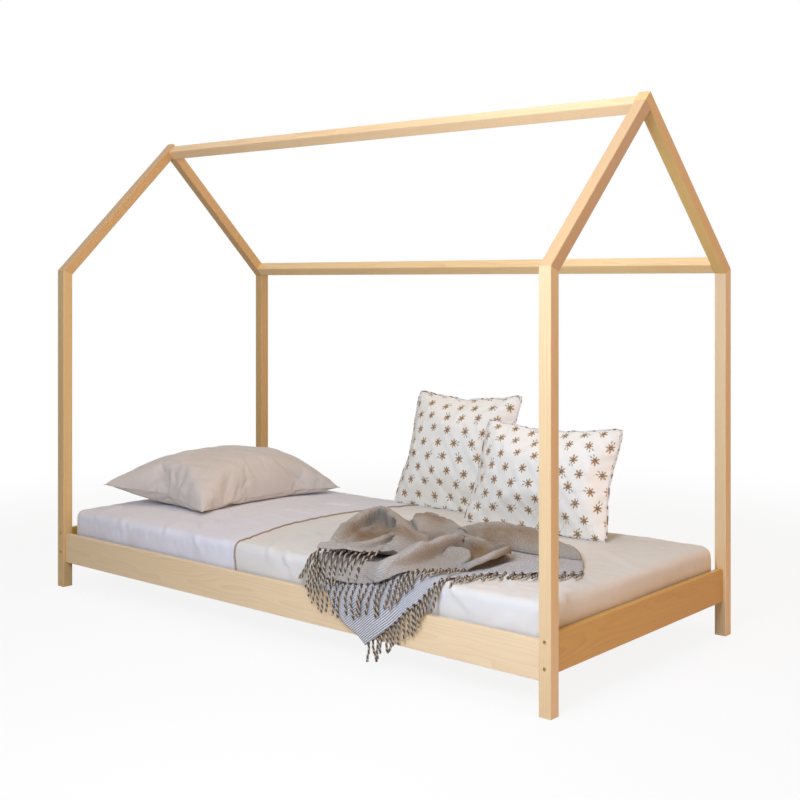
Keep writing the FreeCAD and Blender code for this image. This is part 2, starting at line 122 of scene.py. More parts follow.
# White paper sweep: matt, with a share of its own light so that it reads as white and keeps the
# shadow. The share grows to the whole of it between near and far, in metres from the middle
paper, place = fresh("floor_paper")
near, far, own_light, half_floor = 1.6, 3.6, 0.88, 30.0
tree = paper.node_tree
matt = node("BsdfDiffuse", {"Color": tone("#EDEBE8")}, tree)
lit = node("Emission", {"Color": (1, 1, 1, 1), "Strength": 1.0}, tree)
away = node("VectorMath", {0: place}, operation="LENGTH").outputs["Value"]
share = ramp(away, near, far, own_light, 1.0, interpolation_type="SMOOTHSTEP")
seen = node("LightPath", tree=tree).outputs["Is Camera Ray"]
join(maths("MULTIPLY", seen, share), matt, lit, "OutputMaterial")
corner = np.array([[-1, -1, 0], [1, -1, 0], [1, 1, 0], [-1, 1, 0]]) * half_floor
floor = mesh_piece("floor", corner, [[0, 1, 2, 3]], paper)

surround = bpy.data.worlds.new("surround")
scene.world = surround
surround.use_nodes = True
tree = surround.node_tree
tree.nodes.clear()
rays = node("LightPath", tree=tree).outputs
seen = maths("MAXIMUM", rays["Is Camera Ray"], rays["Is Glossy Ray"])
seen = maths("MAXIMUM", seen, rays["Is Transmission Ray"])
sky = node("Background", {"Color": tone("#ECECEF"), "Strength": 0.27}, tree)
white = node("Background", {"Color": (1, 1, 1, 1), "Strength": 1.0}, tree)
join(seen, sky, white, "OutputWorld")


def lamp(name, place, target, size, colour, watts):
    """A soft box at place that faces target, unseen by the camera."""
    data = bpy.data.lights.new(name, "AREA")
    data.shape = "RECTANGLE"
    data.size, data.size_y = size
    data.color = tone(colour)[:3]
    data.energy = watts
    made = bpy.data.objects.new(name, data)
    made.location = place
    made.rotation_euler = (Vector(target) - Vector(place)).to_track_quat("-Z", "Y").to_euler()
    made.visible_camera = False
    scene.collection.objects.link(made)


lamp("window_light", (1.12, -2.0, 1.6), (0.75, 0.0, 0.75), (1.0, 1.0), "#D2E0FF", 52.0)
lamp("second_window", (-0.9, -3.1, 1.3), (1.0, 0.0, 0.8), (0.9, 1.3), "#F2F5FF", 3.5)
lamp("room_light", (5.6, 0.4, 1.5), (0.0, 0.0, 0.6), (2.6, 2.2), "#FFB45C", 74.0)
lamp("ceiling_light", (0.2, 0.1, 3.4), (0.0, 0.0, 0.3), (3.0, 2.2), "#FFE9CF", 38.0)

camera_data = bpy.data.cameras.new("camera")
camera_data.sensor_width = 36.0
camera_data.lens = 55.87
camera_data.shift_x = -0.036
camera_data.shift_y = -0.1489
camera_data.clip_end = 60.0
camera = bpy.data.objects.new("camera", camera_data)
camera.location = (2.7274, -2.9623, 1.0594)
camera.rotation_euler = (pi / 2, 0.0, math.radians(39.903))
scene.collection.objects.link(camera)
scene.camera = camera

# ----------------------------------------
# Timber: posts, rafters, beams and boards of planed pine under a clear matt lacquer. Each piece
# was sawn off the pith, so its faces show long slanted year rings, and its ends short arcs.
ring_spacing = 0.0042  # slow-grown pine
fibre_width = 0.0011  # drawn twice as coarse as it is, so that it shows
wave_scale = 0.31416  # a wave texture of this scale repeats once a metre


def vector(kind, first, second):
    """One step of arithmetic on two vectors; gives the socket of the result."""
    return node("VectorMath", {0: first, 1: second}, operation=kind).outputs[0]


def noise(where, scale, detail=2.0, roughness=0.5, output="Fac"):
    """Smooth noise with about scale bumps a metre."""
    inputs = {"Vector": where, "Scale": scale, "Detail": detail, "Roughness": roughness}
    return node("TexNoise", inputs).outputs[output]


def mix(share, first, second, **settings):
    """Mixes two colours, each a socket, a colour or a hex value."""
    first, second = (tone(c) if isinstance(c, str) else c for c in (first, second))
    return node("Mix", {0: share, 6: first, 7: second}, data_type="RGBA", **settings).outputs[2]


def relief(height, strength, depth, under=None):
    """Bump of a height by a depth in metres, laid over the coarser bump under it if there is one."""
    inputs = {"Height": height, "Strength": strength, "Distance": depth}
    if under is not None:
        inputs["Normal"] = under
    return node("Bump", inputs).outputs[0]


def surface(colour, roughness, normal, more=None):
    """Ends a material with its surface; more gives further inputs of it by name."""
    inputs = {"Base Color": colour, "Roughness": roughness, "Normal": normal, **(more or {})}
    bsdf = node("BsdfPrincipled", inputs)
    node("OutputMaterial", {"Surface": bsdf.outputs[0]})


def pine(name, along, middle, pith, light, dark, amount=0.3, wander=0.03):
    """Planed pine: the distance from a wavy pith line gives the year rings, and long thin noise the
    fibres. The place in the piece is turned to along and across the grain by three dot products."""
    made, place = fresh(name)
    a = Vector(along).normalized()
    s = a.cross(Vector((0, 0, 1)) if abs(a.z) < 0.9 else Vector((1, 0, 0))).normalized()
    place = vector("SUBTRACT", place, tuple(middle))
    turned = [
        node("VectorMath", {0: place, 1: tuple(axis)}, operation="DOT_PRODUCT").outputs["Value"]
        for axis in (a, s, a.cross(s))
    ]
    grain = node("CombineXYZ", dict(enumerate(turned))).outputs[0]
    start = vector("ADD", grain, (7 * pith[0], 9 * pith[1], 0.0))
    drift = noise(vector("MULTIPLY", start, (1.6, 9.0, 9.0)), 1.0, output="Color")
    drift = vector("SUBTRACT", drift, (0.5, 0.5, 0.5))
    bent = vector("ADD", grain, vector("MULTIPLY", drift, (0.0, wander, wander)))
    off = vector("SUBTRACT", bent, (0.0, pith[0], pith[1]))
    settings = {"wave_type": "RINGS", "rings_direction": "X", "wave_profile": "SAW"}
    rings = node("TexWave", {"Vector": off, "Scale": wave_scale / ring_spacing}, **settings)
    late = maths("POWER", rings.outputs["Fac"], 2.6)
    fine = vector("MULTIPLY", start, (9.0, 1 / fibre_width, 1 / fibre_width))
    fibre = noise(fine, 1.0, 3.0, 0.6)
    cloud = noise(vector("MULTIPLY", start, (2.2, 30.0, 30.0)), 1.0, 1.0)
    ringed = maths("MULTIPLY", late, ramp(cloud, 0.3, 0.7, 0.25, 1.0))
    strong = maths("MULTIPLY", ringed, amount)
    shade = ramp(fibre, 0.3, 0.7, 0.95, 1.03)
    tint = node("CombineColor", {0: shade, 1: shade, 2: shade}).outputs[0]
    colour = mix(1.0, mix(strong, light, dark), tint, blend_type="MULTIPLY")
    rough = ramp(strong, 0.0, 0.6, 0.5, 0.4)
    lacquer = {"IOR": 1.5, "Coat Weight": 0.6, "Coat Roughness": 0.3}
    surface(colour, rough, relief(fibre, 0.12, 0.0004), lacquer)
    return made


def finish_with(material, *names):
    """Gives the CAD nodes of these names one material."""
    for name in names:
        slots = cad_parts[name].data.materials
        slots.clear()
        slots.append(material)


def timber(name, along, pith, light="#DCB66C", dark="#B57D3A", amount=0.3, wander=0.03):
    """One sawn piece: its own pine material, with the pattern centred on the piece."""
    low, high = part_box(name)
    finish_with(pine("pine_" + name, along, (low + high) / 2, pith, light, dark, amount, wander), name)


# The light tones of the pieces differ: partly each piece's own tone, partly painted light. The foot posts are
# lighter, where the window light falls strongly, and the head posts and head rafters darker, as the light
# falls off towards the head end; the front foot rafter is painted darker where the window lamp stands close
# to it.
timber("post_head_front", (0, 0, 1), (0.052, 0.071), "#D8B578")
timber("post_head_back", (0, 0, 1), (-0.075, 0.048), "#D2AA6A")
timber("post_foot_front", (0, 0, 1), (0.078, -0.055), "#E0BF8A")
timber("post_foot_back", (0, 0, 1), (-0.06, -0.083), "#E8CA98")
timber("rafter_head_front", (0, 1, 1), (0.062, 0.085), "#CCA266")
timber("rafter_head_back", (0, 1, -1), (-0.07, 0.07), "#D0A76C")
timber("rafter_foot_front", (0, 1, 1), (-0.08, -0.06), "#C8A26E")
timber("rafter_foot_back", (0, 1, -1), (0.07, -0.08))
# Painted light: the ridge beam's light tone is raised where the window light falls on its front.
timber("ridge_beam", (1, 0, 0), (0.07, -0.09), "#F4D09A", "#C88F50")
timber("eave_beam_back", (1, 0, 0), (-0.06, 0.08), "#EECB8E", "#C48C4A")
timber("side_board_front", (1, 0, 0), (-0.075, 0.012), "#E8CB9C", "#CC9A5A", 0.36, 0.05)
timber("side_board_back", (1, 0, 0), (0.085, -0.02), "#E8CB9C", "#CC9A5A", 0.36, 0.05)
timber("end_board_head", (0, 1, 0), (-0.09, 0.02), "#CA9A3C", "#A87026", 0.36, 0.05)
timber("end_board_foot", (0, 1, 0), (0.08, -0.015), "#CA9A3C", "#A87026", 0.36, 0.05)
timber("ledger_front", (1, 0, 0), (0.05, -0.06))
timber("ledger_back", (1, 0, 0), (-0.06, 0.05))

# ----------------------------------------
# Slatted base: thirteen planed spruce slats, paler than the frame, held at their spacing by two
# woven ribbons that are stapled underneath.
for k in range(1, 14):
    pith = (0.02 * (k % 5) - 0.04, 0.03 + 0.007 * (k % 3))
    timber("slat_%02d" % k, (0, 1, 0), pith, "#E2CBA2", "#C9A26A")


def bands(where, pitch, direction):
    """Waves across one direction, one each pitch in metres."""
    inputs = {"Vector": where, "Scale": wave_scale / pitch}
    return node("TexWave", inputs, bands_direction=direction).outputs["Fac"]


webbing, place = fresh("polyester_webbing")
weave = maths("MULTIPLY", bands(place, 0.0016, "X"), bands(place, 0.0012, "Y"))
surface(mix(weave, "#A9A497", "#D6D2C6"), 0.8, relief(weave, 0.5, 0.0004))
finish_with(webbing, "slat_ribbon_front", "slat_ribbon_back")

# ----------------------------------------
# Fittings: yellow zinc plated bolts and screws, die-cast zinc cams, and beech dowels.


def scaled(colour, factor):
    """A hex colour made darker or lighter by a factor."""
    return tuple(min(1.0, v * factor) for v in tone(colour)[:3]) + (1.0,)


def metal(name, colour, rough, grain):
    """Plated or cast metal with a cloudy film whose colour and gloss drift by a few percent."""
    made, place = fresh(name)
    film = noise(place, 1 / grain, 4.0)
    mixed = mix(ramp(film, 0.3, 0.7), scaled(colour, 0.72), colour)
    gloss = ramp(film, 0.3, 0.7, rough, rough + 0.14)
    surface(mixed, gloss, relief(film, 0.15, 0.0002), {"Metallic": 1.0})
    return made


yellow_zinc = metal("yellow_zinc_plate", "#C9B27A", 0.3, 0.004)
finish_with(
    yellow_zinc,
    "end_board_bolts",
    "end_board_barrel_nuts",
    "beam_cam_bolts",
    "side_board_cam_bolts",
    "ledger_screws",
    "slat_screws",
)
finish_with(metal("die_cast_zinc", "#B4B4B2", 0.42, 0.0025), "beam_cams", "side_board_cams")
beech = pine("beech_dowels", (1, 0, 0), (0, 0, 0), (0.5, 1.0), "#CFA777", "#A9794A", 0.3, 0.004)
finish_with(beech, "mitre_dowels", "beam_dowels", "side_board_dowels")

# ----------------------------------------
# Mattress: a 12 cm foam block in a knitted cover. It lies on the slats inside the boards; only its
# underside is to be seen, between the slats.
half_length, half_width, top_face = 0.995, 0.443, 0.262  # of the mattress, in metres


def cloth_points(a, b, lift, corner=0.040, rim=0.026):
    """Where flat cloth lies on the mattress. A place (a, b) on the cloth goes to the nearest point
    of the core rectangle; what is left over runs out along the top, round the rim in a quarter
    circle, and down the side. Returns the points, the outward directions, and the run left over."""
    core_a, core_b = half_length + lift - corner, half_width + lift - corner
    top = top_face + lift
    near_a, near_b = np.clip(a, -core_a, core_a), np.clip(b, -core_b, core_b)
    over_a, over_b = a - near_a, b - near_b
    run = np.maximum(np.abs(over_a), np.abs(over_b))
    reach = np.maximum(np.hypot(over_a, over_b), 1e-9)
    out_a, out_b = over_a / reach, over_b / reach
    turn = np.clip((run - (corner - rim)) / rim, 0.0, pi / 2)
    fall = np.maximum(run - (corner - rim) - rim * pi / 2, 0.0)
    out = np.minimum(run, corner - rim) + rim * np.sin(turn)
    height = top - rim + rim * np.cos(turn) - fall
    points = np.stack([near_a + out * out_a, near_b + out * out_b, height], axis=-1)
    normals = np.stack([out_a * np.sin(turn), out_b * np.sin(turn), np.cos(turn)], axis=-1)
    return points, normals, run


def closed(piece, merge=0.00001):
    """Joins doubled points at poles and seams, and turns all faces outwards."""
    work = bmesh.new()
    work.from_mesh(piece.data)
    bmesh.ops.remove_doubles(work, verts=work.verts, dist=merge)
    bmesh.ops.recalc_face_normals(work, faces=work.faces)
    work.to_mesh(piece.data)
    work.free()
    piece.data.update()


def nap(sheen, spread=0.4, gloss=0.3):
    """Surface inputs of cloth: the sheen of its loose fibres, how far it spreads, and the gloss."""
    return {"Sheen Weight": sheen, "Sheen Roughness": spread, "Specular IOR Level": gloss}


def fabric(name, base, shadow, thread, rough=0.85, sheen=0.25, creased=0.15, uv=True):
    """Plain woven cotton or knit: two crossed bands of threads give the weave, and a slow noise the
    slight unevenness of washed cloth. thread is the drawn spacing in metres."""
    made, where = fresh(name, "UV" if uv else "Object")
    weave = maths("MULTIPLY", bands(where, thread, "X"), bands(where, thread, "Y"))
    mixed = maths("MULTIPLY", weave, 0.35)
    mixed = maths("MULTIPLY_ADD", noise(where, 6.0, 3.0), 0.65, mixed)
    colour = mix(ramp(mixed, 0.15, 0.75), shadow, base)
    wrinkle = relief(noise(where, 28.0, 4.0, 0.55), creased, 0.004)
    surface(colour, rough, relief(weave, 0.25, 0.0003, wrinkle), nap(sheen))
    return made


def lay_uv(piece, flat):
    """Writes the flat place of every point, in metres, as the piece's UV map."""
    mesh = piece.data
    corners = np.zeros(len(mesh.loops), np.int32)
    mesh.loops.foreach_get("vertex_index", corners)
    layer = mesh.uv_layers.new(name="cloth")
    layer.data.foreach_set("uv", np.asarray(flat, np.float32).reshape(-1, 2)[corners].ravel())


def unit(values):
    """Values kept between nought and one."""
    return np.clip(values, 0, 1)


def rounded(values, power):
    """Sines or cosines to a power with their sign kept: a low power squares a circle up."""
    return np.sign(values) * np.abs(values) ** power


ticking = fabric("knitted_mattress_cover", "#E4E2DC", "#CFCCC4", 0.0024, uv=False, creased=0.3)
turns = np.linspace(0, 2 * pi, 160, endpoint=False)
ring_x, ring_y = rounded(np.cos(turns), 0.22), rounded(np.sin(turns), 0.22)
rise = np.sin((np.linspace(0.0, 1.0, 44) - 0.5) * pi)[:, None]
foam_length, foam_width, foam_height = 0.988, 0.437, 0.0550  # half sizes
foam_middle = 0.2008
wide = foam_width * unit(1 - np.abs(rise) ** 14) ** 0.5
hull_x = (foam_length - foam_width) * rounded(ring_x, 0.5) + wide * ring_x
hull_z = np.broadcast_to(foam_middle + foam_height * rise, hull_x.shape)
hull = np.stack([hull_x, wide * ring_y, hull_z], axis=-1)
mattress = mesh_piece("foam_mattress", hull, cells(*hull_x.shape, around=True), ticking)
closed(mattress, 0.0004)
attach(mattress, "mattress")
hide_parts("mattress")

# ----------------------------------------
# Fitted sheet: grey-beige cotton percale, stretched over the mattress and down between it and the
# boards. It shows at the head end, with drag creases round the pillow and soft waves on the side.


def rumple(x, y, length, seed, waves=16):
    """Even soft unevenness: a sum of plane waves of about the given length in chance directions."""
    chance = np.random.default_rng(seed)
    total = np.zeros(np.broadcast(x, y).shape)
    for heading, factor, phase in chance.uniform((0, 0.65, 0), (pi, 1.7, 2 * pi), (waves, 3)):
        speed = 2 * pi * factor / length
        total += np.cos(speed * (x * math.cos(heading) + y * math.sin(heading)) + phase)
    return total / math.sqrt(waves / 2)


def creases(x, y, lines):
    """Height of listed creases. Each runs from (x0, y0) to (x1, y1), with a height, a width and a bow
    sideways: a rounded ridge with a shallow valley beside it, fading out at both ends."""
    total = np.zeros(np.broadcast(x, y).shape)
    for x0, y0, x1, y1, height, width, bow in lines:
        length = math.hypot(x1 - x0, y1 - y0)
        along = ((x - x0) * (x1 - x0) + (y - y0) * (y1 - y0)) / length**2
        side = ((y - y0) * (x1 - x0) - (x - x0) * (y1 - y0)) / length - bow * 4 * along * (1 - along)
        fade = np.sin(pi * unit(along)) ** 0.8
        valley = np.exp(-(((side + 1.5 * width) / (1.2 * width)) ** 2))
        total += height * (np.exp(-((side / width) ** 2)) - 0.45 * valley) * fade
    return total


def bed_waves(a, b):
    """Slow unevenness of the made-up bed, shared by both sheets, in metres."""
    return 0.0011 * rumple(a, b, 0.42, 5) - 0.0016


step = 0.0068  # between the points of both sheets
stronger = 1.9  # the creases are drawn this much higher than listed
a, b = np.meshgrid(np.arange(-1.073, 1.0731, step), np.arange(-0.521, 0.5211, step), indexing="ij")
points, normals, run = cloth_points(a, b, 0.0012)
drag = [
    (-0.56, -0.25, -0.36, -0.40, 0.0030, 0.010, 0.010),
    (-0.52, -0.20, -0.30, -0.30, 0.0034, 0.009, -0.012),
    (-0.50, -0.14, -0.27, -0.20, 0.0030, 0.009, 0.010),
    (-0.49, -0.05, -0.25, -0.09, 0.0026, 0.010, 0.012),
    (-0.50, 0.06, -0.28, 0.05, 0.0024, 0.011, -0.010),
    (-0.47, 0.20, -0.24, 0.26, 0.0026, 0.010, 0.010),
    (-0.58, -0.30, -0.47, -0.47, 0.0028, 0.012, 0.006),
    (-0.75, -0.36, -0.70, -0.50, 0.0020, 0.014, 0.0),
    (-0.93, -0.30, -0.86, -0.46, 0.0024, 0.014, 0.008),
    (-0.40, -0.38, -0.30, -0.50, 0.0022, 0.013, 0.004),
]
side_waves = 0.0010 * rumple(a, b * 0.35, 0.16, 11) * unit((run - 0.02) / 0.05)
small = 0.0005 * rumple(a, b, 0.05, 12)
points = points + normals * (bed_waves(a, b) + stronger * creases(a, b, drag) + side_waves + small)[..., None]
percale = fabric("grey_beige_percale", "#E7E4E4", "#D9D6D6", 0.0011, creased=0.2)
fitted = mesh_piece("fitted_sheet_cloth", points, cells(*a.shape), percale)
lay_uv(fitted, np.stack([a, b], axis=-1))
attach(fitted, "mattress")
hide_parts("fitted_sheet")

# ----------------------------------------
# Top sheet: lighter cotton sateen from the middle of the bed to the foot, tucked in on three
# sides. Its head edge lies in a slack curve and is bound with tan piping.
edge_places = np.array([-0.53, -0.47, -0.435, -0.40, -0.315, -0.16, 0.0, 0.15, 0.286, 0.41, 0.53])
edge_line = -np.array([0.135, 0.148, 0.140, 0.146, 0.188, 0.217, 0.226, 0.207, 0.171, 0.105, 0.06])


def head_edge(b):
    """How far towards the head the top sheet reaches, as a smooth curve through measured places."""
    return np.interp(b, edge_places, edge_line) * 0.5 + 0.5 * np.mean(
        [np.interp(b + shift, edge_places, edge_line) for shift in (-0.05, -0.025, 0.025, 0.05)], axis=0
    )


across = np.arange(-0.523, 0.5231, step)
down = np.linspace(0.0, 1.0, 190)
b, share = np.meshgrid(across, down)
a = head_edge(b) + share * (1.075 - head_edge(b))
points, normals, run = cloth_points(a, b, 0.0034)
pulls = [
    (0.62, -0.20, 0.88, -0.40, 0.0034, 0.014, 0.02),
    (0.55, -0.30, 0.78, -0.50, 0.0030, 0.012, -0.012),
    (0.70, 0.02, 0.96, -0.16, 0.0026, 0.016, 0.01),
    (0.75, 0.20, 0.98, 0.05, 0.0024, 0.015, -0.01),
    (0.90, -0.36, 1.02, -0.48, 0.0034, 0.011, 0.004),
    (0.94, -0.30, 1.05, -0.40, 0.0028, 0.010, -0.004),
    (-0.10, -0.30, 0.02, -0.48, 0.0030, 0.013, 0.008),
    (0.02, -0.34, 0.12, -0.51, 0.0026, 0.012, -0.006),
    (0.14, -0.38, 0.20, -0.51, 0.0026, 0.012, 0.005),
    (-0.17, -0.16, 0.02, -0.24, 0.0026, 0.013, 0.01),
    (-0.18, 0.02, 0.00, 0.00, 0.0022, 0.012, 0.01),
    (-0.14, 0.20, 0.04, 0.24, 0.0024, 0.013, -0.01),
    (0.60, 0.34, 0.86, 0.42, 0.0024, 0.014, 0.01),
]
side_waves = 0.0011 * rumple(a, b * 0.4, 0.19, 21) * unit((run - 0.02) / 0.05)
small = 0.0005 * rumple(a, b, 0.06, 22)
loose = np.maximum(stronger * creases(a, b, pulls) + small + side_waves, -0.0012)
points = points + normals * (bed_waves(a, b) + loose)[..., None]
sateen = fabric("pale_cotton_sateen", "#E3DED2", "#D6D1C4", 0.0011, rough=0.7, sheen=0.2, creased=0.2)
top_cloth = mesh_piece("top_sheet_cloth", points, cells(*b.shape), sateen)
closed(top_cloth)
lay_uv(top_cloth, np.stack([a, b], axis=-1))


def straight(rows):
    """Rows of coordinates brought to length one."""
    return rows / np.linalg.norm(rows, axis=1, keepdims=True)


def rod(path, radius, sides, closed_path=False, up=(0.0, 0.0, 1.0)):
    """Points of a round rod: a circle of the given radius, or one radius a point, carried along the
    path square to it."""
    path = np.asarray(path, float)
    if closed_path:
        ahead = np.roll(path, -1, axis=0) - np.roll(path, 1, axis=0)
    else:
        ahead = np.gradient(path, axis=0)
    ahead = straight(ahead)
    across = np.cross(ahead, up)
    across /= np.maximum(np.linalg.norm(across, axis=1, keepdims=True), 1e-9)
    above = np.cross(across, ahead)
    turn = np.linspace(0, 2 * pi, sides, endpoint=False)[None, :, None]
    size = np.broadcast_to(np.asarray(radius, float), (len(path),))[:, None, None]
    return path[:, None, :] + size * (np.cos(turn) * across[:, None, :] + np.sin(turn) * above[:, None, :])


cord_tan = fabric("tan_cotton_piping", "#B89E86", "#8D7460", 0.0016, uv=False, creased=0.1)
line = points[0] + normals[0] * 0.0016
piping = mesh_piece("top_sheet_piping", rod(line, 0.0030, 8), cells(len(line), 8, around=True), cord_tan)
closed(piping)
for piece in (top_cloth, piping):
    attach(piece, "mattress")
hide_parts("top_sheet")

# ----------------------------------------
# Pillow: a 50 x 70 cm down pillow in a grey-beige sateen case, laid across the bed. The case is
# two flat panels sewn round the edge, blown up by its filling, so the seams pucker.
panel_gap = (1.7, 0.4)  # from the front panel's flat place to the back panel's, in metres


def sewn_case(name, width, height, material):
    """Two flat panels that share their edge, as a grid each, blown up by Blender's cloth: pressure
    from inside, no gravity. Returns the piece, its points, the order of its edge points, and the
    flat places of its points."""
    pitch, bulge = 0.0075, 0.012  # of the grid, and of the flat case before it is blown up
    frames, furthest = 22, 0.2  # how long it is blown up, and how far a point may go
    nx, ny = int(round(width / pitch)), int(round(height / pitch))
    u, v = np.meshgrid(np.linspace(-0.5, 0.5, nx + 1), np.linspace(-0.5, 0.5, ny + 1), indexing="ij")
    lens = bulge * unit(np.cos(pi * u) * np.cos(pi * v)) ** 0.5
    front = np.stack([u * width, v * height, lens], axis=-1).reshape(-1, 3)
    index = np.arange(front.shape[0]).reshape(nx + 1, ny + 1)
    inside = index[1:-1, 1:-1].ravel()
    start = np.concatenate([front, front[inside] * (1, 1, -1)])
    other = index.copy()
    other[1:-1, 1:-1] = front.shape[0] + np.arange(inside.size).reshape(nx - 1, ny - 1)

    def quads(grid):
        corners = [grid[:-1, :-1], grid[1:, :-1], grid[1:, 1:], grid[:-1, 1:]]
        return np.stack(corners, axis=-1).reshape(-1, 4)

    piece = mesh_piece(name, start, np.concatenate([quads(index), quads(other)[:, ::-1]]), material)
    border = np.concatenate([index[:-1, 0], index[-1, :-1], index[:0:-1, -1], index[0, :0:-1]])
    flat = np.concatenate([front[:, :2], front[inside][:, :2] + panel_gap])
    cloth = piece.modifiers.new("cloth", "CLOTH")
    put = cloth.settings
    put.quality = 6
    put.mass = 0.25
    put.tension_stiffness = put.compression_stiffness = 22.0
    put.shear_stiffness = 6.0
    put.bending_stiffness = 0.35
    put.tension_damping = put.compression_damping = put.shear_damping = 8.0
    put.use_pressure = True
    put.uniform_pressure_force = 4.0
    put.effector_weights.gravity = 0.0
    cloth.collision_settings.use_collision = False
    cloth.point_cache.frame_start, cloth.point_cache.frame_end = 1, frames
    for k in range(1, frames + 1):
        scene.frame_set(k)
    held = piece.evaluated_get(bpy.context.evaluated_depsgraph_get())
    blown = np.zeros(len(piece.data.vertices) * 3)
    held.data.vertices.foreach_get("co", blown)
    piece.modifiers.clear()
    scene.frame_set(1)
    move = blown.reshape(-1, 3) - start
    far = np.linalg.norm(move, axis=1, keepdims=True)
    shape = start + move * np.minimum(1.0, furthest / np.maximum(far, 1e-9))
    return piece, shape, border, flat


def panel_places(flat, cut):
    """The flat places of a case with its two panels laid over each other."""
    x, y = flat[:, 0].copy(), flat[:, 1].copy()
    second = x > cut[0]
    x[second] -= panel_gap[0]
    y[second] -= panel_gap[1]
    return x, y


def spread_out(shape, flat, cut, corners, pucker, front, back, round_off=0.0):
    """Carries a blown case to four corners in space, given as foot left, foot right, head right, head
    left: the flat place of a point gives its place between the corners in proportion, the case's own
    pull-in is added in its plane by the share pucker, and its bulge square to it, by front and back.
    The corners are rounded by the radius round_off."""
    x, y = panel_places(flat, cut)
    over_x, over_y = np.abs(x) - cut[0] / 2 + round_off, np.abs(y) - cut[1] / 2 + round_off
    both = (over_x > 0) & (over_y > 0)
    scale = np.where(both, np.maximum(over_x, over_y) / np.maximum(np.hypot(over_x, over_y), 1e-9), 1.0)
    x -= np.where(both, np.sign(x) * over_x * (1 - scale), 0.0)
    y -= np.where(both, np.sign(y) * over_y * (1 - scale), 0.0)
    u, v = x / cut[0] + 0.5, y / cut[1] + 0.5
    weights = np.stack([(1 - u) * (1 - v), u * (1 - v), u * v, (1 - u) * v], axis=1)
    corners = np.asarray(corners, float)
    sides = np.array([(-0.5, -0.5), (0.5, -0.5), (0.5, 0.5), (-0.5, 0.5)]) * cut
    later = np.arange(len(shape)) > len(shape) // 1.9
    nearest = [int(np.argmin(np.hypot(x - cx, y - cy) + later)) for cx, cy in sides]
    pull = shape[:, :2] - weights @ shape[nearest][:, :2]
    ex = corners[1] - corners[0] + corners[2] - corners[3]
    ey = corners[3] - corners[0] + corners[2] - corners[1]
    ex /= np.linalg.norm(ex)
    ey /= np.linalg.norm(ey)
    z = shape[:, 2]
    high = np.where(z > 0, z * front / z.max(), -z * back / z.min())
    foot = unit(v / 0.3)[:, None] ** 0.7 if pucker < 1 else 1.0
    flat_move = pucker * (pull[:, :1] * ex + foot * pull[:, 1:] * ey)
    return weights @ corners + flat_move + high[:, None] * np.cross(ex, ey)


def gathers(flat, cut, high, seed):
    """Fine creases that run in from the seams: waves along each edge, fading within some
    centimetres from it, strongest at the corners."""
    x, y = panel_places(flat, cut)
    gap_x, gap_y = cut[0] / 2 - np.abs(x), cut[1] / 2 - np.abs(y)
    total = 0
    for gap, run, part in ((gap_x, y, 0), (gap_y, x, 1)):
        wave = rumple(run + 0.25 * gap * np.sign(x), 0.10 * gap, 0.036, seed + part, 12)
        total = total + wave * np.exp(-gap / 0.055) * unit(gap / 0.012)
    slant = rumple(x * 0.8 + y * 0.6, 0.25 * (y * 0.8 - x * 0.6), 0.050, seed + 5, 12)
    return high * (total + 0.45 * slant * unit(np.minimum(gap_x, gap_y) / 0.04))


def settle(z, floor, soft):
    """Heights pressed up smoothly so that none is under the floor."""
    over = (z - floor) / soft
    return floor + soft * np.where(over > 20, over, np.log1p(np.exp(np.minimum(over, 20))))


def finish_case(piece, shape, flat, body):
    """Sets a case to its points, rounds it off, and says what it stands for."""
    piece.data.vertices.foreach_set("co", np.asarray(shape, np.float32).ravel())
    piece.data.update()
    lay_uv(piece, flat)
    smooth = piece.modifiers.new("smooth", "SUBSURF")
    smooth.levels = smooth.render_levels = 1
    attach(piece, body)
    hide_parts(body)


def welt(name, line, radius, sides, material, body):
    """A round cord sewn along the edge of a case."""
    made = mesh_piece(name, rod(line, radius, sides, True), cells(len(line), sides, True, True), material)
    closed(made)
    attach(made, body)


case = fabric("pillow_sateen", "#D8D0C4", "#C7BDB0", 0.0011, rough=0.6, sheen=0.35, creased=0.6)
cut = (0.70, 0.49)
foot_corners = [(-0.567, -0.223, 0.276), (-0.527, 0.408, 0.282)]
head_corners = [(-0.985, 0.375, 0.318), (-0.997, -0.312, 0.334)]
pillow, shape, border, flat = sewn_case("pillow_case", *cut, case)
shape = spread_out(shape, flat, cut, foot_corners + head_corners, 1.0, 0.143, 0.055)
shape[:, 2] += gathers(flat, cut, 0.0022, 81) * (shape[:, 2] > 0.30)
shape[:, 2] = settle(shape[:, 2], 0.2645, 0.004)
finish_case(pillow, shape, flat, "pillow")
welt("pillow_seam", shape[border], 0.0013, 6, case, "pillow")

# ----------------------------------------
# Cushions: two stuffed cushions that lean back on the bed, in white cotton printed with small
# scattered sprigs, edged with a thin welt of the same print cut on the bias.
cell = (0.072, 0.046)  # spacing of the sprigs along a row and between rows, in metres
sprig = 0.0182  # half size of a sprig
jog = 0.010  # how far a sprig may lie from the middle of its cell, to and fro


